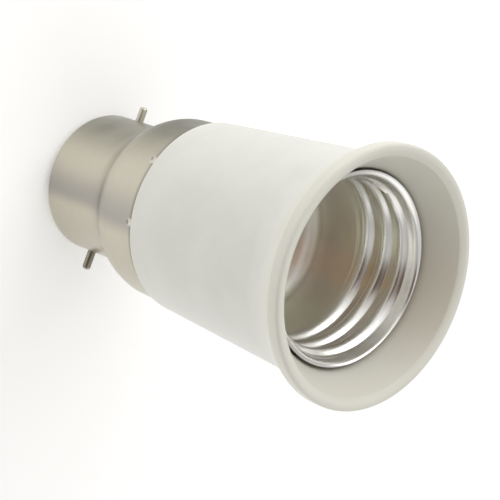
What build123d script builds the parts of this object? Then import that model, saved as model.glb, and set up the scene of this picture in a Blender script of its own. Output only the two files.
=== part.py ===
from build123d import *
from math import atan2, cos, pi, radians, sin, tan
import os

# Lamp socket adapter: a bayonet cap below, a screw socket above. All sizes are in millimetres.
# It stands on its two end contacts, which touch Z = 0, with its axis on Z and its mouth up.
# The two bayonet pins lie along X and the two end contacts along Y.

# Overall
overall_length = 62.4
sheet_gap = 0.05  # between a metal piece and what it is pressed on or through
loose_gap = 0.25  # between the screw shell and the bore that it drops into

# Housing, one moulding
rim_diameter = 38.0
rim_band = 1.9
rim_outer_round = 0.5
rim_flat = 0.9
rim_crown_round = 0.9
rim_crease_inset = 1.8  # from the rim's outside to the edge of the funnel
rim_crease_drop = 0.55  # below the mouth
rim_inner_round = 0.3
flare_length = 6.6
flare_start_diameter = 33.3
flare_round = 11.0
body_base_height = 26.2
body_step = 0.5  # past the cap's skirt, all round
body_base_round = 0.4
lip_clearance = 0.06  # round the screw shell's lip
floor_thickness = 3.0
floor_corner_round = 0.8
spigot_wall = 1.8

# Screw shell, drawn and rolled from thin sheet
shell_wall = 0.38
shell_lip_depth = 5.6  # below the mouth
shell_height = 20.2
shell_lip_diameter = 29.0
shell_bore_diameter = 24.6
thread_pitch = 3.629
thread_depth = 1.05
thread_length = 10.6
thread_run_in = 3.2
lip_height = 1.2  # plain land above the thread, with the flared edge
lip_flare = 0.4  # outwards, over the last part of the lip
lip_flare_length = 0.6
lip_flare_round = 0.6
thread_run_out = 0.9
crest_below_lip = 2.2  # the last crest, where it crosses the +Y side
sections_per_turn = 16
cup_corner_round = 2.6
flange_flat = 0.8  # the flat inside the cup's corner
ear_width = 4.6
ear_reach = 6.0  # from the axis to the end of an ear
ear_rivet_place = 7.8  # from the axis

# Insulating disc under the screw shell
disc_thickness = 0.8
disc_play = 0.3  # all round, in its bore

# Bayonet cap, drawn from thin sheet
cap_diameter = 22.0
cap_wall = 0.45
cap_end_round = 0.9
cap_lip_flat = 0.8  # the flat of the lip that is turned in at the end
cap_neck_height = 13.8
cap_neck_round = 2.0
shoulder_drop = 4.0
shoulder_inset = 0.3  # inside the skirt's edge, so that the skirt widens a little
shoulder_round = 8.0
skirt_diameter = 28.6
skirt_gap = 0.25  # below the housing's step
stake_angles = (-112.0, -72.0, 68.0, 108.0)
stake_ball_diameter = 2.0
stake_depth = 0.3
stake_below_edge = 0.55

# Bayonet pins
pin_diameter = 1.3
pin_height = 4.2
pin_reach_short = 2.4
pin_reach_long = 3.0
pin_tip_round = 0.35
pin_head_diameter = 2.1
pin_head_thickness = 0.5

# End insulator and its two contacts
contact_proud = 0.6  # past the cap's end
contact_spacing = 10.4
contact_head_diameter = 6.4
contact_head_round = 0.25
contact_shank_diameter = 3.0
contact_shank_past = 0.8  # past the insulator's inner face
insulator_recess = 0.15  # below the cap's end
insulator_flange = 1.7
insulator_thickness = 4.2
insulator_core_diameter = 17.0
insulator_round = 0.4

# Centre contact, a bent spring strip, and its rivet
tongue_thickness = 0.45
tongue_width = 4.6
tongue_tip_width = 3.6
tongue_back = 8.0  # from the axis to the end of the foot
tongue_bend_place = 3.6  # from the axis to the bend
tongue_slope = 20.0
tongue_reach = 6.0  # along the slope
tongue_curl = 38.0
tongue_curl_length = 2.2
tongue_bend_round = 1.6
tongue_rivet_place = 6.0  # from the axis

# Rivets in the socket's floor
rivet_shank_diameter = 2.0
rivet_head_diameter = 3.4
rivet_head_thickness = 0.7
rivet_head_round = 0.3

# Leads
lead_diameter = 1.5
lead_side_step = 2.2
lead_bend_share = 0.45

# Places that follow from the sizes above
mouth_z = overall_length
lip_z = mouth_z - shell_lip_depth
disc_top = lip_z - shell_height
floor_top = disc_top - disc_thickness
floor_bottom = floor_top - floor_thickness
thread_bottom = lip_z - thread_length
thread_top = lip_z - lip_height
lip_land_radius = shell_lip_diameter / 2 - lip_flare
cup_bore = shell_bore_diameter / 2 + shell_wall + loose_gap
cap_end_z = contact_proud
cap_lip_radius = cap_diameter / 2 - cap_end_round - cap_lip_flat
skirt_top = body_base_height - skirt_gap
shoulder_z = cap_neck_height + shoulder_drop
shoulder_radius = skirt_diameter / 2 - shoulder_inset
skirt_flare = shoulder_inset / (skirt_top - shoulder_z)
shoulder_turn = atan2(shoulder_radius - cap_diameter / 2, shoulder_drop) - atan2(skirt_flare, 1)
shoulder_top = shoulder_z + shoulder_round * tan(shoulder_turn / 2)
body_base_radius = skirt_diameter / 2 + body_step
spigot_end = shoulder_top + loose_gap
spigot_radius = skirt_diameter / 2 - cap_wall - sheet_gap
spigot_end_radius = spigot_radius - skirt_flare * (body_base_height - spigot_end)
cavity_radius = spigot_end_radius - spigot_wall
insulator_face = cap_end_z + insulator_recess
insulator_seat = cap_end_z + cap_wall
insulator_back = insulator_face + insulator_thickness
contact_back = insulator_back + contact_shank_past
tongue_top = disc_top + tongue_thickness
rivet_tail_z = floor_bottom - rivet_head_thickness
rivet_hole_radius = rivet_shank_diameter / 2 + sheet_gap


def turned(points, rounds):
    # A solid of revolution from a closed outline of (radius, height) points with rounded corners
    outline = FilletPolyline(*points, radius=rounds, close=True)
    return revolve(Plane.XZ * make_face(outline), Axis.Z)


def drawn(points, rounds, wall):
    # A sheet of even wall, turned from the line of its outer face, with the wall on the line's left
    line = FilletPolyline(*points, radius=rounds)
    return revolve(Plane.XZ * make_face(offset(line, wall, side=Side.LEFT)), Axis.Z)


def rivet(x, y, head_base):
    # A plain rivet through the floor, with its head on what it clamps and its tail under the floor
    head_radius = rivet_head_diameter / 2
    shank_radius = rivet_shank_diameter / 2
    head_top = head_base + rivet_head_thickness
    points = [
        (0, rivet_tail_z),
        (head_radius, rivet_tail_z),
        (head_radius, floor_bottom),
        (shank_radius, floor_bottom),
        (shank_radius, head_base),
        (head_radius, head_base),
        (head_radius, head_top),
        (0, head_top),
    ]
    rounds = [0, rivet_head_round, 0, 0, 0, 0, rivet_head_round, 0]
    return Pos(x, y, 0) * turned(points, rounds)


def rivet_hole(x, y):
    return Pos(x, y, (floor_top + floor_bottom) / 2) * Cylinder(rivet_hole_radius, 3 * floor_thickness)


def make_housing():
    rim_radius = rim_diameter / 2
    thread_bore = shell_bore_diameter / 2 + thread_depth + shell_wall + loose_gap
    lip_seat = thread_top - thread_run_out
    funnel_floor = shell_lip_diameter / 2 + lip_clearance
    points = [
        (0, floor_bottom),
        (cavity_radius, floor_bottom),
        (cavity_radius, spigot_end),
        (spigot_end_radius, spigot_end),
        (spigot_radius, body_base_height),
        (body_base_radius, body_base_height),
        (flare_start_diameter / 2, mouth_z - flare_length),
        (rim_radius, mouth_z - rim_band),
        (rim_radius, mouth_z),
        (rim_radius - rim_flat, mouth_z),
        (rim_radius - rim_crease_inset, mouth_z - rim_crease_drop),
        (funnel_floor, lip_z),
        (funnel_floor, lip_seat),
        (thread_bore, lip_seat),
        (thread_bore, thread_bottom),
        (cup_bore, thread_bottom),
        (cup_bore, floor_top),
        (0, floor_top),
    ]
    rounds = [0, floor_corner_round, 0, 0, 0, body_base_round, flare_round, rim_outer_round, rim_outer_round]
    rounds += [rim_crown_round, rim_inner_round, 0, 0, 0, 0, 0, 0, 0]
    body = turned(points, rounds)
    body -= rivet_hole(0, -tongue_rivet_place)
    for side in (-1, 1):
        body -= rivet_hole(side * ear_rivet_place, 0)
    return body


def make_insulating_disc():
    disc = Pos(0, 0, floor_top + disc_thickness / 2) * Cylinder(cup_bore - disc_play, disc_thickness)
    disc -= rivet_hole(0, -tongue_rivet_place)
    for side in (-1, 1):
        disc -= rivet_hole(side * ear_rivet_place, 0)
    return disc


def ease(share):
    # Smooth step from 0 to 1
    share = min(max(share, 0.0), 1.0)
    return share * share * (3 - 2 * share)


def thread_form(wall):
    # The rolled thread as a stack of circles whose centres wind round the axis.
    # The wave starts from the plain cup and runs out into the plain land of the lip.
    crest_z = lip_z - crest_below_lip
    length = thread_top - thread_bottom
    count = round(length / thread_pitch * sections_per_turn)
    sections = []
    for i in range(count + 1):
        z = thread_bottom + length * i / count
        run_in = ease((z - thread_bottom) / thread_run_in)
        run_out = ease((z - thread_top + thread_run_out) / thread_run_out)
        wave = thread_depth / 2 * run_in
        plain_radius = shell_bore_diameter / 2 + wave
        radius = plain_radius + run_out * (lip_land_radius - shell_wall - plain_radius)
        groove_angle = 2 * pi * (z - crest_z) / thread_pitch - pi / 2
        centre = wave * (1 - run_out)
        place = Pos(centre * cos(groove_angle), centre * sin(groove_angle), z)
        sections.append(place * Circle(radius + wall))
    return loft(sections)


def make_screw_shell():
    thread = thread_form(shell_wall) - thread_form(0)
    cup_radius = shell_bore_diameter / 2 + shell_wall
    ring_radius = shell_bore_diameter / 2 - cup_corner_round - flange_flat
    points = [(ring_radius, disc_top), (cup_radius, disc_top), (cup_radius, thread_bottom)]
    cup = drawn(points, [cup_corner_round + shell_wall], shell_wall)
    lip_radius = shell_lip_diameter / 2
    points = [(lip_land_radius, thread_top), (lip_land_radius, lip_z - lip_flare_length), (lip_radius, lip_z)]
    lip = drawn(points, [lip_flare_round], shell_wall)
    ears = Sketch()
    for side in (-1, 1):
        slot = Rectangle(2 * (ring_radius - ear_reach), ear_width)
        ears += Pos(side * ring_radius, 0) * slot - Pos(side * ear_rivet_place, 0) * Circle(rivet_hole_radius)
    ears &= Circle(ring_radius + flange_flat / 2)
    return thread + cup + lip + Pos(0, 0, disc_top) * extrude(ears, shell_wall)


def make_bayonet_cap():
    cap_radius = cap_diameter / 2
    skirt_radius = skirt_diameter / 2
    points = [
        (cap_lip_radius, cap_end_z),
        (cap_radius, cap_end_z),
        (cap_radius, cap_neck_height),
        (shoulder_radius, shoulder_z),
        (skirt_radius, skirt_top),
    ]
    cap = drawn(points, [cap_end_round, cap_neck_round, shoulder_round], cap_wall)
    hole = Rot(0, 90, 0) * Cylinder(pin_diameter / 2 + sheet_gap, 3 * cap_diameter)
    cap -= Pos(0, 0, pin_height) * hole
    stake_radius = skirt_radius - stake_depth + stake_ball_diameter / 2
    for angle in stake_angles:
        dent = Pos(stake_radius, 0, skirt_top - stake_below_edge) * Sphere(stake_ball_diameter / 2)
        cap -= Rot(0, 0, angle) * dent
    return cap


def make_bayonet_pin(reach):
    # Lies along X from its head inside the cap's wall to its round tip
    wall_inside = cap_diameter / 2 - cap_wall - sheet_gap
    tip = cap_diameter / 2 + reach
    pin_radius = pin_diameter / 2
    head_radius = pin_head_diameter / 2
    seat = (wall_inside**2 - head_radius**2) ** 0.5
    points = [
        (0, seat - pin_head_thickness),
        (head_radius, seat - pin_head_thickness),
        (head_radius, seat),
        (pin_radius, seat),
        (pin_radius, tip),
        (0, tip),
    ]
    return Pos(0, 0, pin_height) * Rot(0, 90, 0) * turned(points, [0, 0, 0, 0, pin_tip_round, 0])


def make_end_insulator():
    flange_radius = cap_diameter / 2 - cap_wall - sheet_gap
    boss_radius = cap_lip_radius - sheet_gap
    core_radius = insulator_core_diameter / 2
    points = [
        (0, insulator_face),
        (boss_radius, insulator_face),
        (boss_radius, insulator_seat),
        (flange_radius, insulator_seat),
        (flange_radius, insulator_seat + insulator_flange),
        (core_radius, insulator_seat + insulator_flange),
        (core_radius, insulator_back),
        (0, insulator_back),
    ]
    corner = cap_end_round - cap_wall
    disc = turned(points, [0, 0, 0, corner + sheet_gap, insulator_round, 0, insulator_round, 0])
    for side in (-1, 1):
        hole = Cylinder(contact_shank_diameter / 2 + sheet_gap, 3 * insulator_thickness)
        disc -= Pos(0, side * contact_spacing / 2, insulator_back) * hole
    return disc


def make_end_contact(side):
    head_radius = contact_head_diameter / 2
    shank_radius = contact_shank_diameter / 2
    points = [
        (0, 0),
        (head_radius, 0),
        (head_radius, insulator_face),
        (shank_radius, insulator_face),
        (shank_radius, contact_back),
        (0, contact_back),
    ]
    contact = turned(points, [0, contact_head_round, 0, 0, contact_head_round, 0])
    return Pos(0, side * contact_spacing / 2, 0) * contact


def make_centre_contact():
    # The strip's side view, foot first, as the line of its lower face
    slope = radians(tongue_slope)
    dip = radians(tongue_slope - tongue_curl)
    crown = (tongue_reach * cos(slope) - tongue_bend_place, disc_top + tongue_reach * sin(slope))
    tip = (crown[0] + tongue_curl_length * cos(dip), crown[1] + tongue_curl_length * sin(dip))
    points = [(-tongue_back, disc_top), (-tongue_bend_place, disc_top), crown, tip]
    line = FilletPolyline(*points, radius=tongue_bend_round)
    side_view = make_face(offset(line, tongue_thickness, side=Side.LEFT))
    strip = extrude(Plane.YZ * side_view, tongue_width / 2, both=True)
    plan = Polyline(
        (-tongue_width / 2, -tongue_back),
        (tongue_width / 2, -tongue_back),
        (tongue_width / 2, -tongue_bend_place),
        (tongue_tip_width / 2, tip[0]),
        (-tongue_tip_width / 2, tip[0]),
        (-tongue_width / 2, -tongue_bend_place),
        close=True,
    )
    blank = make_face(plan)
    blank = fillet(blank.vertices().group_by(Axis.Y)[-1], tongue_tip_width / 3)
    blank = fillet(blank.vertices().group_by(Axis.Y)[0], tongue_width / 5)
    strip &= Pos(0, 0, disc_top) * extrude(blank, shell_height)
    return strip - rivet_hole(0, -tongue_rivet_place)


def make_lead(start, end, side):
    # An insulated lead that leaves straight up, steps to one side and meets its rivet from below
    low, high = start[2], end[2]
    run = (high - low) / 4
    aside = side * lead_side_step
    points = [
        Vector(*start),
        Vector(start[0], start[1], low + run),
        Vector((start[0] + end[0]) / 2 + aside, (start[1] + end[1]) / 2, low + 2 * run),
        Vector(end[0], end[1], high - run),
        Vector(*end),
    ]
    bends = []
    for before, here, after in zip(points, points[1:], points[2:]):
        half_turn = radians((here - before).get_angle(after - here)) / 2
        shorter = min((here - before).length, (after - here).length)
        bends.append(lead_bend_share * shorter / tan(half_turn))
    path = FilletPolyline(*points, radius=bends)
    return sweep(Pos(*start) * Circle(lead_diameter / 2), path=path)


contact_place = contact_spacing / 2
live_rivet = rivet(0, -tongue_rivet_place, tongue_top)
shell_rivets = [rivet(side * ear_rivet_place, 0, disc_top + shell_wall) for side in (-1, 1)]
live_ends = (0, -contact_place, contact_back), (0, -tongue_rivet_place, rivet_tail_z)
neutral_ends = (0, contact_place, contact_back), (ear_rivet_place, 0, rivet_tail_z)

nodes = {
    "housing": make_housing(),
    "insulating_disc": make_insulating_disc(),
    "screw_shell": make_screw_shell(),
    "centre_contact": make_centre_contact(),
    "centre_contact_rivet": live_rivet,
    "shell_rivets": Compound(children=shell_rivets),
    "bayonet_cap": make_bayonet_cap(),
    "bayonet_pin_long": make_bayonet_pin(pin_reach_long),
    "bayonet_pin_short": Rot(0, 0, 180) * make_bayonet_pin(pin_reach_short),
    "end_insulator": make_end_insulator(),
    "end_contact_live": make_end_contact(-1),
    "end_contact_neutral": make_end_contact(1),
    "live_wire": make_lead(*live_ends, -1),
    "neutral_wire": make_lead(*neutral_ends, 1),
}

os.makedirs("parts", exist_ok=True)
for name, shape in nodes.items():
    export_step(shape, f"parts/{name}.step")
    print(name, round(shape.volume, 2), "mm3")
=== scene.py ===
import bpy
import bmesh
from math import atan2, cos, sin, sqrt, tan, pi, radians, hypot
from mathutils import Matrix, Vector


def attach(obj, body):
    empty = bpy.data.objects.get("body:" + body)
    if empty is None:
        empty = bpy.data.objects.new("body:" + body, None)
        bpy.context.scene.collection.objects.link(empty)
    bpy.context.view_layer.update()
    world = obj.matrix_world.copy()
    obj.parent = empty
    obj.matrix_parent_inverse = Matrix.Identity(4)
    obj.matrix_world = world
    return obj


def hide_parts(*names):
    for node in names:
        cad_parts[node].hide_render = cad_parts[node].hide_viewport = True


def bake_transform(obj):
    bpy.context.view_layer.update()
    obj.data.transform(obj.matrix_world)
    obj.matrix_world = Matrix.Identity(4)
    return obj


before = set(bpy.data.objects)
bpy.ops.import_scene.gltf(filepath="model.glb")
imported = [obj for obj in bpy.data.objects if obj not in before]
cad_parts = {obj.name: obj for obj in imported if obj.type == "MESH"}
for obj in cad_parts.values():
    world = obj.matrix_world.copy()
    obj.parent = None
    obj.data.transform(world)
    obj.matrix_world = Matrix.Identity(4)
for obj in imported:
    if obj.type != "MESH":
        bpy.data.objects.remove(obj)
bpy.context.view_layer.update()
mm = 0.001
mergeWithin = 0.002  # mm


# small tools used by every piece

def clearSelection():
    if bpy.context.mode != "OBJECT":
        bpy.ops.object.mode_set(mode="OBJECT")
    bpy.ops.object.select_all(action="DESELECT")


def makeActive(piece):
    clearSelection()
    piece.select_set(True)
    bpy.context.view_layer.objects.active = piece


def pickEdges(piece, wanted):
    # edit mode: selects the edges whose two ends (in mm) pass the test
    bpy.ops.mesh.select_mode(type="EDGE")
    bpy.ops.mesh.select_all(action="DESELECT")
    mesh = bmesh.from_edit_mesh(piece.data)
    for edge in mesh.edges:
        a, b = (v.co / mm for v in edge.verts)
        if wanted(a, b):
            edge.select_set(True)
    mesh.select_flush_mode()
    bmesh.update_edit_mesh(piece.data)


def pickCorners(piece, wanted):
    # edit mode: selects the points (in mm) that pass the test
    bpy.ops.mesh.select_mode(type="VERT")
    bpy.ops.mesh.select_all(action="DESELECT")
    mesh = bmesh.from_edit_mesh(piece.data)
    for point in mesh.verts:
        point.select_set(bool(wanted(point.co / mm)))
    bmesh.update_edit_mesh(piece.data)


def onRing(radius, height, reach=0.03):
    # test for an edge that lies on the circle of this radius and height
    def wanted(a, b):
        for point in (a, b):
            if abs(point.z - height) > reach or abs(hypot(point.x, point.y) - radius) > reach:
                return False
        return True
    return wanted


def ringStack(name, rings, segments, fillStart=False, fillEnd=False):
    # a circle, then one extrusion to each ring after it: (centre x, centre y, height, radius) in mm
    clearSelection()
    x, y, z, radius = rings[0]
    bpy.ops.mesh.primitive_circle_add(vertices=segments, radius=radius * mm, location=(x * mm, y * mm, z * mm))
    piece = bpy.context.object
    piece.name = name
    piece.data.name = name
    bpy.ops.object.transform_apply(location=True, rotation=True, scale=True)
    bpy.ops.object.mode_set(mode="EDIT")
    bpy.ops.mesh.select_mode(type="EDGE")
    bpy.ops.mesh.select_all(action="SELECT")
    for before, after in zip(rings, rings[1:]):
        move = [(new - old) * mm for new, old in zip(after[:3], before[:3])]
        bpy.ops.mesh.extrude_edges_move(TRANSFORM_OT_translate={"value": move})
        grow = after[3] / before[3]
        centre = [value * mm for value in after[:3]]
        bpy.ops.transform.resize(value=(grow, grow, 1), center_override=centre)
    if fillEnd:
        bpy.ops.mesh.edge_face_add()
    if fillStart:
        pickEdges(piece, lambda a, b: max((p - Vector(rings[0][:3])).length for p in (a, b)) < radius + 0.001)
        bpy.ops.mesh.edge_face_add()
    return piece


def turnedRings(outline):
    return [(0, 0, height, radius) for radius, height in outline]


def bevelPicked(width, segments):
    # edit mode: bevels the selected edges, width in mm
    bpy.ops.mesh.bevel(offset=width * mm, offset_type="OFFSET", segments=segments, profile=0.5, affect="EDGES")


def roundRings(piece, rounds):
    # edit mode: bevels whole rings, each given as (radius, height, width, segments) in mm
    for radius, height, width, segments in rounds:
        pickEdges(piece, onRing(radius, height))
        bevelPicked(width, segments)


def closeMesh(piece, angle=40):
    # merges doubles, turns faces outwards, smooths by angle
    bpy.ops.mesh.select_all(action="SELECT")
    bpy.ops.mesh.remove_doubles(threshold=mergeWithin * mm)
    bpy.ops.mesh.normals_make_consistent(inside=False)
    bpy.ops.mesh.select_all(action="DESELECT")
    bpy.ops.object.mode_set(mode="OBJECT")
    makeActive(piece)
    bpy.ops.object.shade_smooth_by_angle(angle=radians(angle))


def applyModifier(piece, kind, **settings):
    makeActive(piece)
    modifier = piece.modifiers.new(kind.lower(), kind)
    for key, value in settings.items():
        setattr(modifier, key, value)
    bpy.ops.object.modifier_apply(modifier=modifier.name)


def moveTo(piece, x, y, z=0, turn=0):
    # turns a finished piece about Y, moves it (in mm) and applies both to its mesh
    makeActive(piece)
    piece.rotation_euler = (0, radians(turn), 0)
    piece.location = (x * mm, y * mm, z * mm)
    bpy.ops.object.transform_apply(location=True, rotation=True, scale=True)


def copyOf(piece, name):
    makeActive(piece)
    bpy.ops.object.duplicate(linked=False)
    twin = bpy.context.object
    twin.name = name
    twin.data.name = name
    return twin


def bevelWidth(radius, turn):
    # bevel offset that gives a fillet of this radius at a corner turning by so many degrees
    return radius * tan(radians(turn) / 2)


# finishes

def newFinish(name, **sockets):
    finish = bpy.data.materials.new(name)
    finish.use_nodes = True
    shader = finish.node_tree.nodes["Principled BSDF"]
    for socket, value in sockets.items():
        shader.inputs[socket.replace("_", " ")].default_value = value
    return finish, shader


def placeOn(finish, stretch=(1, 1, 1)):
    # Object coordinates, stretched along their axes
    nodes, links = finish.node_tree.nodes, finish.node_tree.links
    coordinates = nodes.new("ShaderNodeTexCoord")
    mapping = nodes.new("ShaderNodeMapping")
    mapping.inputs["Scale"].default_value = stretch
    links.new(coordinates.outputs["Object"], mapping.inputs["Vector"])
    return mapping.outputs["Vector"]


def grainOf(finish, scale, stretch=(1, 1, 1), detail=4.0, roughness=0.55):
    noise = finish.node_tree.nodes.new("ShaderNodeTexNoise")
    noise.inputs["Scale"].default_value = scale
    noise.inputs["Detail"].default_value = detail
    noise.inputs["Roughness"].default_value = roughness
    finish.node_tree.links.new(placeOn(finish, stretch), noise.inputs["Vector"])
    return noise.outputs["Fac"]


def along(finish, axis):
    # one Object coordinate, in metres
    node = finish.node_tree.nodes.new("ShaderNodeSeparateXYZ")
    finish.node_tree.links.new(placeOn(finish), node.inputs["Vector"])
    return node.outputs[axis]


def fromAxis(finish):
    # distance from the object's long axis, in metres
    node = finish.node_tree.nodes.new("ShaderNodeVectorMath")
    node.operation = "LENGTH"
    finish.node_tree.links.new(placeOn(finish, (1, 1, 0)), node.inputs[0])
    return node.outputs["Value"]


def farFrom(finish, place):
    # distance from one point of the object, in metres
    node = finish.node_tree.nodes.new("ShaderNodeVectorMath")
    node.operation = "DISTANCE"
    node.inputs[1].default_value = place
    finish.node_tree.links.new(placeOn(finish), node.inputs[0])
    return node.outputs["Value"]


def mathOf(finish, operation, first, second):
    # one operation on two numbers or node outputs
    node = finish.node_tree.nodes.new("ShaderNodeMath")
    node.operation = operation
    for socket, value in zip(node.inputs, (first, second)):
        if isinstance(value, (int, float)):
            socket.default_value = value
        else:
            finish.node_tree.links.new(value, socket)
    return node.outputs["Value"]


def productOf(finish, first, second):
    return mathOf(finish, "MULTIPLY", first, second)


def ramped(finish, value, low, high, fromTo=(0.3, 0.7)):
    # number between low and high
    node = finish.node_tree.nodes.new("ShaderNodeMapRange")
    node.interpolation_type = "SMOOTHSTEP"
    node.inputs["From Min"].default_value = fromTo[0]
    node.inputs["From Max"].default_value = fromTo[1]
    node.inputs["To Min"].default_value = low
    node.inputs["To Max"].default_value = high
    finish.node_tree.links.new(value, node.inputs["Value"])
    return node.outputs["Result"]


def blended(finish, value, first, second):
    # colour between two, by value
    node = finish.node_tree.nodes.new("ShaderNodeMix")
    node.data_type = "RGBA"
    for socket, colour in (("A", first), ("B", second)):
        if isinstance(colour, tuple):
            node.inputs[socket].default_value = (*colour, 1)
        else:
            finish.node_tree.links.new(colour, node.inputs[socket])
    finish.node_tree.links.new(value, node.inputs["Factor"])
    return node.outputs["Result"]


def bumped(finish, shader, value, strength, distance):
    node = finish.node_tree.nodes.new("ShaderNodeBump")
    node.inputs["Strength"].default_value = strength
    node.inputs["Distance"].default_value = distance
    finish.node_tree.links.new(value, node.inputs["Height"])
    finish.node_tree.links.new(node.outputs["Normal"], shader.inputs["Normal"])


def feed(finish, value, shader, socket):
    finish.node_tree.links.new(value, shader.inputs[socket])


whitePlastic = {
    "light": (0.825, 0.83, 0.78), "dull": (0.785, 0.785, 0.73), "cloudScale": 90,
    "cream": (0.82, 0.81, 0.72), "creamShare": 0.8, "rimAt": (0.0570, 0.0600),
    "funnelSlope": 0.523, "funnelEdge": (-0.01505, -0.01478), "mouthAt": (0.0545, 0.0560),
    # painted warm shade in the funnel, least on its lit sides
    "warmShade": (0.76, 0.72, 0.62), "litSide": (0.0020, 0.0125), "litShares": (0.95, 0.2),
    "topSide": (-0.0135, -0.0030), "topShares": (0.25, 1),
    # painted shade at the foot of the funnel
    "jointShade": (0.50, 0.43, 0.31), "jointShadeShare": 0.30, "footAt": (0.0568, 0.0580),
    "skinScale": 5200, "roughness": (0.36, 0.50), "gloss": 0.45, "bump": (0.10, 0.00002),
}


def makeWhitePlastic():
    white = whitePlastic
    finish, shader = newFinish("housing_white", Specular_IOR_Level=white["gloss"])
    clouds = grainOf(finish, white["cloudScale"], detail=3)
    height, across = along(finish, "Z"), along(finish, "X")
    colour = blended(finish, ramped(finish, clouds, 0, 1), white["light"], white["dull"])
    rim = ramped(finish, height, 0, white["creamShare"], white["rimAt"])
    colour = blended(finish, rim, colour, white["cream"])
    cone = mathOf(finish, "SUBTRACT", fromAxis(finish), productOf(finish, height, white["funnelSlope"]))
    inMouth = productOf(finish, ramped(finish, cone, 1, 0, white["funnelEdge"]),
                        ramped(finish, height, 0, 1, white["mouthAt"]))
    shadedFunnel = productOf(finish, ramped(finish, across, *white["litShares"], white["litSide"]),
                       ramped(finish, across, *white["topShares"], white["topSide"]))
    shadedFunnel = productOf(finish, shadedFunnel, inMouth)
    colour = blended(finish, shadedFunnel, colour, white["warmShade"])  # painted warm shade, strongest on the funnel's shaded sides
    low = productOf(finish, ramped(finish, height, white["jointShadeShare"], 0, white["footAt"]), inMouth)
    colour = blended(finish, low, colour, white["jointShade"])  # painted shade at the foot of the funnel, by the shell's lip
    feed(finish, colour, shader, "Base Color")
    skin = grainOf(finish, white["skinScale"], detail=2)
    feed(finish, ramped(finish, skin, *white["roughness"]), shader, "Roughness")
    bumped(finish, shader, skin, *white["bump"])
    return finish


satinNickel = {
    "light": (0.60, 0.57, 0.475), "dull": (0.555, 0.525, 0.435), "cloudScale": 130,
    "lineScale": 90, "lineStretch": (1, 1, 160),
    # painted dark reflection on the cap's -X side
    "darkSideReflection": (0.205, 0.20, 0.162), "darkSideAt": (-0.84, -0.22), "darkSideLeast": 0.85,
    "skirtAt": (0.013, 0.019), "plainShare": 0.86,
    # painted dark reflection in a band along the cap
    "frontReflection": (0.40, 0.38, 0.345), "frontReflectionAt": (-0.15, 0.31, 0.50),
    # painted shade in the neck's crease
    "neckShade": (0.30, 0.28, 0.235), "neckShadeShare": 0.24, "neckShadeSide": (-0.45, 0.15),
    "neckAt": 0.0139, "neckReach": 0.0014,
    # painted shade at the skirt's edge, where it meets the housing
    "jointShade": (0.17, 0.16, 0.125), "jointShadeShare": 0.6, "edgeAt": (0.0251, 0.0258),
    # painted highlights at two stakes
    "stakeHighlight": (0.70, 0.675, 0.59), "stakeHighlightShare": 0.8, "stakeHighlightReach": (0.0004, 0.0008),
    "stakeHighlightAt": [(-0.00532, -0.01317, 0.0253), (0.00438, -0.01344, 0.0253)],
    "roughness": (0.30, 0.42), "brushed": 0.3, "bump": (0.06, 0.00002),
}


def makeSatinNickel():
    satin = satinNickel
    finish, shader = newFinish("cap_satin_nickel", Metallic=1.0, Anisotropic=satin["brushed"])
    # fine lines round the axis
    brushing = grainOf(finish, satin["lineScale"], satin["lineStretch"], detail=6, roughness=0.7)
    clouds = grainOf(finish, satin["cloudScale"], detail=3)
    height = along(finish, "Z")
    across = mathOf(finish, "DIVIDE", along(finish, "X"), fromAxis(finish))  # -1 to 1 across the cap
    colour = blended(finish, ramped(finish, brushing, 0, 1), satin["light"], satin["dull"])
    # painted dark reflection on the cap's -X side, a little less towards the end
    side = productOf(finish, ramped(finish, across, 1, 0, satin["darkSideAt"]),
                     ramped(finish, height, satin["plainShare"], 1, satin["skirtAt"]))
    side = productOf(finish, side, ramped(finish, clouds, satin["darkSideLeast"], 1))
    colour = blended(finish, side, colour, satin["darkSideReflection"])
    # painted dark reflection in a band along the cap, between its -X and +X sides
    start, middle, stop = satin["frontReflectionAt"]
    frontReflection = productOf(finish, ramped(finish, across, 0, 1, (start, middle)),
                       ramped(finish, across, 1, 0, (middle, stop)))
    colour = blended(finish, frontReflection, colour, satin["frontReflection"])
    # painted shade in the neck's crease, mostly on the -X side
    fromNeck = mathOf(finish, "ABSOLUTE", mathOf(finish, "SUBTRACT", height, satin["neckAt"]), 0)
    neckShade = productOf(finish, ramped(finish, fromNeck, 1, 0, (0, satin["neckReach"])),
                       ramped(finish, across, satin["neckShadeShare"], 0, satin["neckShadeSide"]))
    colour = blended(finish, neckShade, colour, satin["neckShade"])
    # painted shade along the skirt's edge, where it meets the housing
    edge = ramped(finish, height, 0, satin["jointShadeShare"], satin["edgeAt"])
    colour = blended(finish, edge, colour, satin["jointShade"])
    for place in satin["stakeHighlightAt"]:  # painted highlights on two stakes
        stakeGlint = ramped(finish, farFrom(finish, place), satin["stakeHighlightShare"], 0, satin["stakeHighlightReach"])
        colour = blended(finish, stakeGlint, colour, satin["stakeHighlight"])
    feed(finish, colour, shader, "Base Color")
    feed(finish, ramped(finish, clouds, *satin["roughness"]), shader, "Roughness")
    bumped(finish, shader, brushing, *satin["bump"])
    return finish


brightNickel = {
    "light": (0.93, 0.925, 0.905), "dull": (0.87, 0.86, 0.83), "cloudScale": 220,
    "deep": (0.90, 0.895, 0.865), "stain": (0.84, 0.80, 0.73), "stainScale": 90, "stainAt": (0.35, 0.75),
    # painted reflection tints for the deep wall
    "warmReflection": (0.99, 0.885, 0.79), "warmReflectionAt": (0.001, 0.004),
    "oliveReflection": (0.93, 0.98, 0.85), "oliveReflectionAt": (0.004, 0.008), "reflectionTintShare": 0.8,
    "threadAt": (0.0440, 0.0490), "rolled": 0.245, "drawn": 0.45,
    "lineScale": 70, "lineStretch": (1, 1, 60), "uneven": (-0.015, 0.025), "bump": (0.004, 0.00002),
}


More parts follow.
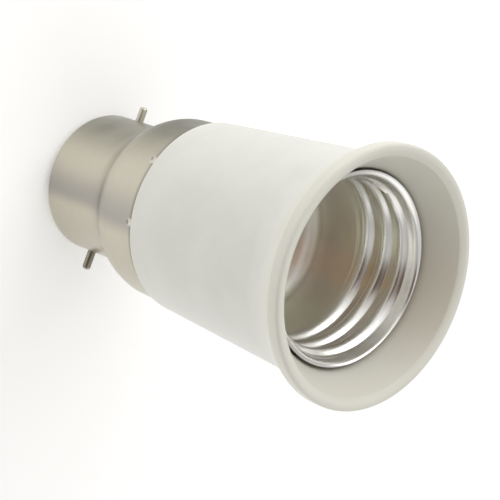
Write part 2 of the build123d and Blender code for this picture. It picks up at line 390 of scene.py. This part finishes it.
def makeBrightNickel():
    nickel = brightNickel
    finish, shader = newFinish("shell_bright_nickel", Metallic=1.0)
    height, across = along(finish, "Z"), along(finish, "X")
    clouds = grainOf(finish, nickel["cloudScale"], detail=4)
    bright = blended(finish, ramped(finish, clouds, 0, 1), nickel["light"], nickel["dull"])
    stains = ramped(finish, grainOf(finish, nickel["stainScale"], detail=2), 0, 1, nickel["stainAt"])
    deep = blended(finish, stains, nickel["deep"], nickel["stain"])
    middle = ramped(finish, mathOf(finish, "ABSOLUTE", across, 0), nickel["reflectionTintShare"], 0, nickel["warmReflectionAt"])
    deep = blended(finish, middle, deep, nickel["warmReflection"])  # painted warm reflection down the middle of the deep wall
    # painted olive reflection on the deep wall's +X side
    side = ramped(finish, across, 0, nickel["reflectionTintShare"], nickel["oliveReflectionAt"])
    deep = blended(finish, side, deep, nickel["oliveReflection"])
    colour = blended(finish, ramped(finish, height, 0, 1, nickel["threadAt"]), deep, bright)
    feed(finish, colour, shader, "Base Color")
    drawLines = grainOf(finish, nickel["lineScale"], nickel["lineStretch"], detail=5, roughness=0.65)
    plain = ramped(finish, height, nickel["drawn"], nickel["rolled"], nickel["threadAt"])
    feed(finish, mathOf(finish, "ADD", plain, ramped(finish, drawLines, *nickel["uneven"])), shader, "Roughness")
    bumped(finish, shader, drawLines, *nickel["bump"])
    return finish


pinSteel = {
    # painted shade on the pin at +X
    "light": (0.68, 0.65, 0.55), "pinShade": (0.30, 0.265, 0.21), "pinShadeAt": (-0.004, 0.010), "pinShadeShare": 0.85,
    "cloudScale": 700, "cloudStretch": (0.15, 1, 1), "uneven": 0.12, "roughness": (0.28, 0.40),
}


def makePinWire():
    finish, shader = newFinish("pin_drawn_wire", Metallic=1.0)
    clouds = grainOf(finish, pinSteel["cloudScale"], pinSteel["cloudStretch"], detail=3)  # drawn lengthwise
    # painted shade: the pin on the +X side, away from the key light, is darker, made uneven by the grain
    pinShade = ramped(finish, along(finish, "X"), 0, pinSteel["pinShadeShare"], pinSteel["pinShadeAt"])
    pinShade = mathOf(finish, "ADD", pinShade, ramped(finish, clouds, 0, pinSteel["uneven"]))
    feed(finish, blended(finish, pinShade, pinSteel["light"], pinSteel["pinShade"]), shader, "Base Color")
    feed(finish, ramped(finish, clouds, *pinSteel["roughness"]), shader, "Roughness")
    return finish


plainMetal = {"scale": 500, "skinScale": 3000, "bump": (0.06, 0.00002)}


def makeMetal(name, light, dull, roughness):
    finish, shader = newFinish(name, Metallic=1.0)
    clouds = grainOf(finish, plainMetal["scale"], detail=4)
    feed(finish, blended(finish, ramped(finish, clouds, 0, 1), light, dull), shader, "Base Color")
    feed(finish, ramped(finish, clouds, *roughness), shader, "Roughness")
    bumped(finish, shader, grainOf(finish, plainMetal["skinScale"], detail=2), *plainMetal["bump"])
    return finish


moulded = {"scale": 400, "skinTimes": 9, "bump": (0.10, 0.00003)}


def makeMoulded(name, light, dull, roughness, scale=moulded["scale"], stretch=(1, 1, 1)):
    finish, shader = newFinish(name)
    clouds = grainOf(finish, scale, stretch, detail=5)
    feed(finish, blended(finish, ramped(finish, clouds, 0, 1), light, dull), shader, "Base Color")
    feed(finish, ramped(finish, clouds, *roughness), shader, "Roughness")
    bumped(finish, shader, grainOf(finish, scale * moulded["skinTimes"], stretch, detail=2), *moulded["bump"])
    return finish


housingWhite = makeWhitePlastic()
capSatin = makeSatinNickel()
shellBright = makeBrightNickel()
pinWire = makePinWire()
# the plainer finishes: light colour, dull colour, roughness
tongueBrass = makeMetal("tongue_brass", (0.72, 0.52, 0.25), (0.55, 0.37, 0.16), (0.20, 0.38))
rivetBrass = makeMetal("rivet_brass", (0.76, 0.57, 0.29), (0.60, 0.43, 0.20), (0.22, 0.40))
contactTin = makeMetal("contact_tin", (0.72, 0.715, 0.69), (0.56, 0.555, 0.53), (0.24, 0.45))
fibreBrown = makeMoulded("disc_fibre", (0.64, 0.53, 0.42), (0.54, 0.44, 0.335), (0.45, 0.65), 500, (1, 3, 1))
insulatorBrown = makeMoulded("insulator_brown", (0.075, 0.05, 0.036), (0.045, 0.03, 0.022), (0.30, 0.48))
liveSleeve = makeMoulded("lead_brown", (0.20, 0.085, 0.03), (0.15, 0.06, 0.022), (0.28, 0.40))
neutralSleeve = makeMoulded("lead_blue", (0.03, 0.10, 0.36), (0.022, 0.075, 0.28), (0.28, 0.40))
print("finishes ready")


def dress(piece, finish, slot, *nodes):
    # one finish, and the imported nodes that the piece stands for
    piece.data.materials.clear()
    piece.data.materials.append(finish)
    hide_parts(*nodes)


def dressFixed(piece, finish, slot, *nodes):
    dress(piece, finish, slot, *nodes)
    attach(piece, "adapter")


# housing: one moulding with a flared rim, a funnel and a stepped socket bore

housing = {
    "outline": [  # (radius, height) from under the floor, round the outside and down the bore
        (4.0, 32.8), (11.792, 32.8), (11.792, 20.554), (13.592, 20.554), (13.8, 26.2), (14.8, 26.2), (16.65, 55.8),
        (19.0, 60.5), (19.0, 62.4), (18.1, 62.4), (17.2, 61.85), (14.26, 56.22), (14.26, 54.7), (13.98, 54.7),
        (13.98, 46.2), (12.93, 46.2), (12.93, 35.8), (4.0, 35.8),
    ],
    "rounds": [  # (radius, height, bevel width, segments)
        (16.65, 55.8, bevelWidth(11.0, 23.0), 14),
        (19.0, 60.5, bevelWidth(0.5, 26.6), 3),
        (19.0, 62.4, 0.5, 7),
        (18.1, 62.4, bevelWidth(0.9, 31.4), 5),
        (17.2, 61.85, bevelWidth(0.3, 31.0), 4),
        (14.8, 26.2, 0.4, 5),
    ],
    "segments": 192,
}
housingPiece = ringStack("housing_body", turnedRings(housing["outline"]), housing["segments"], True, True)
roundRings(housingPiece, housing["rounds"])
closeMesh(housingPiece, 30)
dressFixed(housingPiece, housingWhite, "housing_plastic", "housing")
print("housing done")


# screw shell: drawn cup in thin sheet, with a rolled thread that runs out into a flared lip

shell = {  # sizes of the sheet's outer side, from which the wall grows towards the axis
    "wall": 0.38, "bore": 12.3, "floor": 36.98, "ring": 8.9, "corner": 2.6, "cornerSteps": 8,
    "threadFrom": 46.2, "pitch": 3.629, "crestAt": 54.6, "runIn": 2.4, "crest": 12.58, "depth": 0.80,
    "flank": 46, "arc": 0.55, "crestFlat": 0.12, "stepsPerTurn": 30,
    "lip": [  # (height, radius on the high side, radius on the low side, where the edge is curled further out)
        (54.7, 12.4, 12.4), (55.1, 12.95, 12.95), (55.5, 13.34, 13.34), (56.0, 13.60, 13.55), (56.4, 13.78, 13.68),
        (56.54, 13.84, 13.75), (56.65, 13.89, 13.85), (56.72, 13.93, 13.96), (56.76, 13.96, 14.10),
        (56.78, 13.99, 14.28),
    ],
    "lipFrom": 55.5, "lipLift": 0.38, "lipLean": 58, "lipSpread": 1.3, "lipBlend": 0.15, "lipBelow": 2,
    "curlSteps": 5, "edgeRound": 0.09, "edgeSteps": 4, "edgeReach": (0.02, 0.004),
    "earWidth": 4.6, "earReach": 6.0, "segments": 176, "smoothAngle": 45,
}


def eased(share):
    share = min(max(share, 0.0), 1.0)
    return share * share * (3 - 2 * share)


def threadRise(gap):
    # how far the rolled sheet lies outside its crest, at this distance along the axis from it
    arc, flank, deep = shell["arc"], radians(shell["flank"]), shell["depth"]
    gap -= shell["crestFlat"]
    bend, low = arc * sin(flank), arc * (1 - cos(flank))
    slope = (deep - 2 * low) / tan(flank)
    if gap < 0:
        return 0
    if gap < bend:
        return arc - sqrt(arc * arc - gap * gap)
    if gap < bend + slope:
        return low + (gap - bend) * tan(flank)
    if gap < 2 * bend + slope:
        return deep - arc + sqrt(arc * arc - (2 * bend + slope - gap) ** 2)
    return deep


def lipShare(angle):
    # 0 where the lip stands highest, 1 from a quarter turn away
    return 1 - max(cos(angle - radians(shell["lipLean"])), 0) ** shell["lipSpread"]


def lipHeight(angle, z):
    # where a point of this height goes, once the lip leans
    up = max(z - shell["lipFrom"], 0) / (shell["lip"][-1][0] - shell["lipFrom"])
    return z + shell["lipLift"] * up * (1 - lipShare(angle))


def lipRadius(angle, z):
    # the lip's own line, carried on a little below its table
    line = [(height, near + lipShare(angle) * (far - near)) for height, near, far in shell["lip"]]
    for (low, small), (high, large) in zip(line, line[1:]):
        if z <= high:
            return small + (large - small) * max(z - low, -shell["lipBelow"]) / (high - low)
    return line[-1][1]


def rolledRadius(angle, z):
    # radius of the sheet's outer side, thread and lip together
    turn = (z - shell["crestAt"]) / shell["pitch"] - (angle - pi / 2) / (2 * pi)
    gap = abs(turn - round(turn)) * shell["pitch"]
    rolled = shell["crest"] - shell["bore"] + threadRise(gap)
    thread = shell["bore"] + rolled * eased((z - shell["threadFrom"]) / shell["runIn"])
    lip = lipRadius(angle, z)
    return (thread + lip + hypot(thread - lip, shell["lipBlend"])) / 2  # the wider of the two, softly joined


def shellRings():
    bore, corner, floor = shell["bore"], shell["corner"], shell["floor"]
    rings = [(0, 0, floor, shell["ring"]), (0, 0, floor, bore - corner)]
    for i in range(1, shell["cornerSteps"] + 1):
        turn = pi / 2 * i / shell["cornerSteps"]
        rings.append((0, 0, floor + corner * (1 - cos(turn)), bore - corner * (1 - sin(turn))))
    curl = [line[0] for line in shell["lip"][-shell["curlSteps"]:]]
    length = shell["lip"][-shell["curlSteps"] - 1][0] - shell["threadFrom"]
    count = round(length / shell["pitch"] * shell["stepsPerTurn"])
    for i in range(count + 1):
        rings.append((0, 0, shell["threadFrom"] + length * i / count, bore))
    return rings + [(0, 0, z, bore) for z in curl]


def lipEdge(a, b):
    # test for an edge that lies on the front ring of the outer side
    top = shell["lip"][-1][0]
    reachOut, reachUp = shell["edgeReach"]
    for point in (a, b):
        angle = atan2(point.y, point.x)
        out = hypot(point.x, point.y) - rolledRadius(angle, top)
        if abs(out) > reachOut or abs(point.z - lipHeight(angle, top)) > reachUp:
            return False
    return True


def earEdge(side):
    # test for an edge of the floor's ring where an ear starts, on the -X or +X side
    onInner = onRing(shell["ring"], shell["floor"])
    return lambda a, b: onInner(a, b) and side * a.x > 0 and max(abs(a.y), abs(b.y)) < shell["earWidth"] / 2


shellPiece = ringStack("screw_shell_sheet", shellRings(), shell["segments"])
for side in (-1, 1):  # the two ears reach in over the disc
    pickEdges(shellPiece, earEdge(side))
    move = (-side * (shell["ring"] - shell["earReach"]) * mm, 0, 0)
    bpy.ops.mesh.extrude_edges_move(TRANSFORM_OT_translate={"value": move})
cup = bmesh.from_edit_mesh(shellPiece.data)
for point in cup.verts:  # rolls the thread and the lip into the plain cup
    if point.co.z > shell["threadFrom"] * mm:
        angle = atan2(point.co.y, point.co.x)
        height = point.co.z / mm
        radius = rolledRadius(angle, height) * mm
        point.co = (radius * cos(angle), radius * sin(angle), lipHeight(angle, height) * mm)
bmesh.update_edit_mesh(shellPiece.data)
bpy.ops.mesh.select_mode(type="EDGE")
bpy.ops.mesh.select_all(action="SELECT")
bpy.ops.mesh.normals_make_consistent(inside=True)  # leaves the faces turned away from the axis
bpy.ops.object.mode_set(mode="OBJECT")
applyModifier(shellPiece, "SOLIDIFY", thickness=shell["wall"] * mm, offset=-1.0, use_even_offset=True)
bpy.ops.object.mode_set(mode="EDIT")
pickEdges(shellPiece, lipEdge)
bevelPicked(shell["edgeRound"], shell["edgeSteps"])
bpy.ops.object.mode_set(mode="OBJECT")
bpy.ops.object.shade_smooth_by_angle(angle=radians(shell["smoothAngle"]))
dressFixed(shellPiece, shellBright, "bright_nickel", "screw_shell")
print("screw shell done")


# bayonet cap: drawn satin cap with a domed shoulder, staked to the housing at its edge

cap = {
    "outline": [(9.3, 0.6), (11.0, 0.6), (11.0, 13.8), (14.0, 17.8), (14.3, 25.95)],
    "rounds": [
        (11.0, 0.6, 0.9, 8),
        (11.0, 13.8, bevelWidth(6.8, 36.87), 14),
        (14.0, 17.8, bevelWidth(8.0, 34.76), 14),
    ],
    "wall": 0.45, "segments": 192, "smoothAngle": 35,
    "stakes": {"angles": (-112, -72, 68, 108), "height": 25.4, "skirt": 14.28, "depth": 0.3,
               "ball": 1.0, "ballSegments": 32, "ballRings": 16},
}
capPiece = ringStack("bayonet_cap_sheet", turnedRings(cap["outline"]), cap["segments"])
roundRings(capPiece, cap["rounds"])
bpy.ops.mesh.select_all(action="SELECT")
bpy.ops.mesh.normals_make_consistent(inside=False)
bpy.ops.object.mode_set(mode="OBJECT")
applyModifier(capPiece, "SOLIDIFY", thickness=cap["wall"] * mm, offset=-1.0, use_even_offset=True)
stakes = cap["stakes"]
for angle in stakes["angles"]:  # punch marks at the skirt's edge
    reach = (stakes["skirt"] - stakes["depth"] + stakes["ball"]) * mm
    place = (reach * cos(radians(angle)), reach * sin(radians(angle)), stakes["height"] * mm)
    clearSelection()
    bpy.ops.mesh.primitive_uv_sphere_add(segments=stakes["ballSegments"], ring_count=stakes["ballRings"],
                                         radius=stakes["ball"] * mm, location=place)
    punch = bpy.context.object
    applyModifier(capPiece, "BOOLEAN", operation="DIFFERENCE", object=punch, solver="EXACT")
    bpy.data.objects.remove(punch)
makeActive(capPiece)
bpy.ops.object.shade_smooth_by_angle(angle=radians(cap["smoothAngle"]))
dressFixed(capPiece, capSatin, "satin_nickel", "bayonet_cap")
print("bayonet cap done")


# bayonet pins: plain wire, headed inside the wall, rounded outside

pins = {
    "bayonet_pin_long": {"tip": 14.0, "turn": 90}, "bayonet_pin_short": {"tip": 13.4, "turn": -90},
    "head": 9.95, "headRadius": 1.05, "headRound": 0.15, "headSteps": 3, "headCore": 0.3, "seat": 10.45,
    "radius": 0.65, "tipRound": 0.46, "tipSteps": 6, "tipCore": 0.15, "height": 4.2, "segments": 48,
}


def makePin(node):
    tip, head, seat = pins[node]["tip"], pins["head"], pins["seat"]
    outline = [(pins["headCore"], head), (pins["headRadius"], head), (pins["headRadius"], seat),
               (pins["radius"], seat), (pins["radius"], tip), (pins["tipCore"], tip)]
    piece = ringStack(node + "_wire", turnedRings(outline), pins["segments"], True, True)
    roundRings(piece, [(pins["radius"], tip, pins["tipRound"], pins["tipSteps"]),
                       (pins["headRadius"], head, pins["headRound"], pins["headSteps"])])
    closeMesh(piece)
    moveTo(piece, 0, 0, pins["height"], pins[node]["turn"])
    dressFixed(piece, pinWire, "pin_steel", node)


makePin("bayonet_pin_long")
makePin("bayonet_pin_short")
print("pins done")


# insulating disc: punched fibre under the screw shell

disc = {"radius": 12.63, "core": 3.0, "under": 35.8, "top": 36.6, "edgeRound": 0.12, "edgeSteps": 2, "segments": 128}
discOutline = [(disc["core"], disc["under"]), (disc["radius"], disc["under"]),
               (disc["radius"], disc["top"]), (disc["core"], disc["top"])]
discPiece = ringStack("insulating_disc_fibre", turnedRings(discOutline), disc["segments"], True, True)
for height in (disc["under"], disc["top"]):
    roundRings(discPiece, [(disc["radius"], height, disc["edgeRound"], disc["edgeSteps"])])
closeMesh(discPiece)
dressFixed(discPiece, fibreBrown, "fibre_disc", "insulating_disc")
print("disc done")


# rivets: domed heads over what they clamp, tails spread under the floor

rivets = {
    "tail": 32.1, "floor": 32.8, "headRadius": 1.7, "shank": 1.0, "core": 0.5, "rim": 0.2,
    "tailRound": 0.3, "tailSteps": 4, "dome": 0.5, "domeTurn": 80, "domeSteps": 7, "segments": 56,
    "live": {"place": (0, -6.0), "seat": 37.05}, "shell": {"place": 7.8, "seat": 36.98},
}


def makeRivet(name, seat):
    radius, shank, whole = rivets["headRadius"], rivets["shank"], radians(rivets["domeTurn"])
    outline = [(rivets["core"], rivets["tail"]), (radius, rivets["tail"]), (radius, rivets["floor"]),
               (shank, rivets["floor"]), (shank, seat), (radius, seat)]
    for i in range(rivets["domeSteps"]):
        turn = whole * i / (rivets["domeSteps"] - 1)
        outline.append((radius * cos(turn), seat + rivets["rim"] + rivets["dome"] * sin(turn) / sin(whole)))
    piece = ringStack(name, turnedRings(outline), rivets["segments"], True, True)
    roundRings(piece, [(radius, rivets["tail"], rivets["tailRound"], rivets["tailSteps"])])
    closeMesh(piece)
    return piece


liveRivet = makeRivet("centre_contact_rivet_head", rivets["live"]["seat"])
moveTo(liveRivet, *rivets["live"]["place"])
dressFixed(liveRivet, rivetBrass, "rivet_brass", "centre_contact_rivet")
earRivets = makeRivet("shell_rivet_heads", rivets["shell"]["seat"])
otherRivet = copyOf(earRivets, "shell_rivet_twin")
moveTo(earRivets, rivets["shell"]["place"], 0)
moveTo(otherRivet, -rivets["shell"]["place"], 0)
makeActive(earRivets)
otherRivet.select_set(True)
bpy.ops.object.join()
dressFixed(earRivets, rivetBrass, "rivet_brass", "shell_rivets")
print("rivets done")


# centre contact: spring strip, flat under its rivet, sloped up to a rounded crown

tongue = {
    "width": 4.6, "tipWidth": 3.6, "thickness": 0.45, "back": -8.0, "bend": -3.6, "floor": 36.6,
    "slope": 20, "reach": 6.0, "curl": 38, "curlLength": 2.2, "bendRound": 1.6, "bendSteps": 6, "crownSteps": 10,
    "tipRound": 1.2, "tipSteps": 7, "footRound": 0.92, "footSteps": 6, "pickReach": 0.01,
    "edgeRound": 0.07, "edgeSteps": 2, "edgeAngle": 50, "smoothAngle": 35,
}


def tongueLine():
    # (y, z) of the strip's lower face, from the foot's front to the tip
    slope, dip, bend = radians(tongue["slope"]), radians(tongue["slope"] - tongue["curl"]), tongue["bendRound"]
    line = []
    first = tongue["bend"] - bend * tan(slope / 2)
    for i in range(tongue["bendSteps"] + 1):
        turn = slope * i / tongue["bendSteps"]
        line.append((first + bend * sin(turn), tongue["floor"] + bend * (1 - cos(turn))))
    crown = (tongue["bend"] + tongue["reach"] * cos(slope), tongue["floor"] + tongue["reach"] * sin(slope))
    cut = bend * tan((slope - dip) / 2)
    centre = (crown[0] - cut * cos(slope) + bend * sin(slope), crown[1] - cut * sin(slope) - bend * cos(slope))
    for i in range(tongue["crownSteps"] + 1):
        turn = slope + (dip - slope) * i / tongue["crownSteps"]
        line.append((centre[0] - bend * sin(turn), centre[1] + bend * cos(turn)))
    line.append((crown[0] + tongue["curlLength"] * cos(dip), crown[1] + tongue["curlLength"] * sin(dip)))
    return line


def tongueWidth(y, tip):
    share = min(max((y - tongue["bend"]) / (tip - tongue["bend"]), 0), 1)
    return tongue["width"] + share * (tongue["tipWidth"] - tongue["width"])


line = tongueLine()
tipY = line[-1][0]
clearSelection()
bpy.ops.mesh.primitive_plane_add(size=1)
tonguePiece = bpy.context.object
tonguePiece.name = "centre_contact_strip"
tonguePiece.data.name = "centre_contact_strip"
footLength = line[0][0] - tongue["back"]
tonguePiece.scale = (tongue["width"] * mm, footLength * mm, 1)
tonguePiece.location = (0, (tongue["back"] + footLength / 2) * mm, tongue["floor"] * mm)
bpy.ops.object.transform_apply(location=True, rotation=True, scale=True)
bpy.ops.object.mode_set(mode="EDIT")
pickEdges(tonguePiece, lambda a, b: min(a.y, b.y) > line[0][0] - tongue["pickReach"])
for before, after in zip(line, line[1:]):
    move = (0, (after[0] - before[0]) * mm, (after[1] - before[1]) * mm)
    bpy.ops.mesh.extrude_edges_move(TRANSFORM_OT_translate={"value": move})
    narrow = tongueWidth(after[0], tipY) / tongueWidth(before[0], tipY)
    bpy.ops.transform.resize(value=(narrow, 1, 1), center_override=(0, after[0] * mm, after[1] * mm))
pickCorners(tonguePiece, lambda p: p.y > tipY - tongue["pickReach"])
bpy.ops.mesh.bevel(offset=tongue["tipRound"] * mm, segments=tongue["tipSteps"], affect="VERTICES")
pickCorners(tonguePiece, lambda p: p.y < tongue["back"] + tongue["pickReach"])
bpy.ops.mesh.bevel(offset=tongue["footRound"] * mm, segments=tongue["footSteps"], affect="VERTICES")
bpy.ops.mesh.select_all(action="SELECT")
bpy.ops.mesh.normals_make_consistent(inside=False)
bpy.ops.object.mode_set(mode="OBJECT")
if sum(face.normal.z for face in tonguePiece.data.polygons) < 0:
    bpy.ops.object.mode_set(mode="EDIT")
    bpy.ops.mesh.flip_normals()
    bpy.ops.object.mode_set(mode="OBJECT")
applyModifier(tonguePiece, "SOLIDIFY", thickness=tongue["thickness"] * mm, offset=1.0, use_even_offset=True)
applyModifier(tonguePiece, "BEVEL", width=tongue["edgeRound"] * mm, segments=tongue["edgeSteps"],
              limit_method="ANGLE", angle_limit=radians(tongue["edgeAngle"]))
bpy.ops.object.shade_smooth_by_angle(angle=radians(tongue["smoothAngle"]))
dress(tonguePiece, tongueBrass, "contact_brass", "centre_contact")
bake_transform(tonguePiece)
print("centre contact done")


# end insulator and its two contacts, seen from below

insulator = {
    "outline": [  # from the gate mark at the middle, out over the face, round the flange and back
        (0.9, 0.90), (1.3, 0.75), (8.66, 0.75), (8.72, 0.92), (8.92, 0.92), (8.98, 0.75), (9.25, 0.75), (9.25, 1.05),
        (10.5, 1.05), (10.5, 2.75), (8.5, 2.75), (8.5, 4.95), (2.0, 4.95),
    ],
    "rounds": [(10.5, 1.05, 0.5, 4), (10.5, 2.75, 0.4, 3), (8.5, 4.95, 0.4, 3)],
    "segments": 128,
}
insulatorRings = turnedRings(insulator["outline"])
insulatorPiece = ringStack("end_insulator_moulding", insulatorRings, insulator["segments"], True, True)
roundRings(insulatorPiece, insulator["rounds"])
closeMesh(insulatorPiece, 35)
dressFixed(insulatorPiece, insulatorBrown, "insulator_plastic", "end_insulator")

pads = {
    "outline": [  # from the dimple in the face, round the head and up the shank
        (0.35, 0.13), (0.8, 0.09), (1.2, 0.0), (3.2, 0.0), (3.2, 0.75), (1.5, 0.75), (1.5, 5.75), (0.4, 5.75),
    ],
    "rounds": [(1.2, 0.0, 0.15, 3), (3.2, 0.0, 0.3, 5), (1.5, 5.75, 0.25, 3)],
    "place": 5.2, "segments": 72,
}
livePad = ringStack("end_contact_live_pad", turnedRings(pads["outline"]), pads["segments"], True, True)
roundRings(livePad, pads["rounds"])
closeMesh(livePad, 35)
neutralPad = copyOf(livePad, "end_contact_neutral_pad")
moveTo(livePad, 0, -pads["place"])
moveTo(neutralPad, 0, pads["place"])
dressFixed(livePad, contactTin, "contact_tin", "end_contact_live")
dressFixed(neutralPad, contactTin, "contact_tin", "end_contact_neutral")
print("insulator and end contacts done")


# the two leads keep their solids and get their finishes

for node, finish in {"live_wire": liveSleeve, "neutral_wire": neutralSleeve}.items():
    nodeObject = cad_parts[node]
    nodeObject.data.materials.clear()
    nodeObject.data.materials.append(finish)
print("leads dressed")


# floor, light and camera

floorSettings = {"side": 6.0, "colour": (0.93, 0.93, 0.925, 1), "roughness": 0.9,
                 "glowColour": (1, 1, 1, 1), "glow": 0.335}
clearSelection()
bpy.ops.mesh.primitive_plane_add(size=floorSettings["side"], location=(0, 0, 0))
floorPiece = bpy.context.object
floorPiece.name = "studio_floor"
floorFinish, floorShader = newFinish("studio_floor_white", Base_Color=floorSettings["colour"],
                                     Roughness=floorSettings["roughness"])
floorShader.inputs["Emission Color"].default_value = floorSettings["glowColour"]
floorShader.inputs["Emission Strength"].default_value = floorSettings["glow"]
floorPiece.data.materials.append(floorFinish)

studio = {
    "ambient": (1.0, 0.99, 0.965), "ambientStrength": 0.448,
    # unlit end of the room: colour, direction, and the cosines between which it fades in
    "dark": (0.14, 0.055, 0.008), "darkSide": (-0.05, -0.713, 0.70), "darkEdge": (0.865, 0.945),
    "lamps": [  # name, place (m), size (m), power (W)
        ("key_softbox", (-0.60, 0.10, 0.45), 0.65, 1.8),
        ("fill_softbox", (-0.55, -0.35, 0.45), 0.90, 1.2),
        ("counter_softbox", (0.50, 0.38, 0.36), 0.80, 1.15),
        ("top_softbox", (0.0, 0.10, 0.85), 1.50, 1.22),
    ],
    "target": (0, 0, 0.035),
}
world = bpy.data.worlds.new("studio_world")
world.use_nodes = True
bpy.context.scene.world = world
backdrop = world.node_tree.nodes["Background"]
backdrop.inputs["Strength"].default_value = studio["ambientStrength"]
worldNodes, worldLinks = world.node_tree.nodes, world.node_tree.links
look = worldNodes.new("ShaderNodeTexCoord")
toward = worldNodes.new("ShaderNodeVectorMath")
toward.operation = "DOT_PRODUCT"
toward.inputs[1].default_value = studio["darkSide"]
worldLinks.new(look.outputs["Generated"], toward.inputs[0])
darkness = ramped(world, toward.outputs["Value"], 0, 1, studio["darkEdge"])
worldLinks.new(blended(world, darkness, studio["ambient"], studio["dark"]), backdrop.inputs["Color"])
for name, place, size, power in studio["lamps"]:
    lampData = bpy.data.lights.new(name, "AREA")
    lampData.shape = "SQUARE"
    lampData.size = size
    lampData.energy = power
    lamp = bpy.data.objects.new(name, lampData)
    bpy.context.scene.collection.objects.link(lamp)
    aim = Vector(studio["target"]) - Vector(place)
    lamp.matrix_world = Matrix.Translation(place) @ aim.to_track_quat("-Z", "Y").to_matrix().to_4x4()

eye = {  # the photograph's viewing angle: camera axes and place in the object's frame
    "place": (0.00218, -0.18845, 0.22212),
    "right": (-0.3425, 0.6579, 0.6707), "up": (-0.9395, -0.2398, -0.2445), "back": (0.0, -0.7139, 0.7003),
    "lens": 129.6, "sensor": 36.0, "clipStart": 0.01,
}
cameraData = bpy.data.cameras.new("camera")
cameraData.lens = eye["lens"]
cameraData.sensor_width = eye["sensor"]
cameraData.clip_start = eye["clipStart"]
camera = bpy.data.objects.new("camera", cameraData)
bpy.context.scene.collection.objects.link(camera)
axes = Matrix((eye["right"], eye["up"], eye["back"])).transposed()
camera.matrix_world = Matrix.Translation(eye["place"]) @ axes.to_4x4()
bpy.context.scene.camera = camera
bpy.context.scene.view_settings.view_transform = "Standard"
print("stage, light and camera ready")

clearSelection()
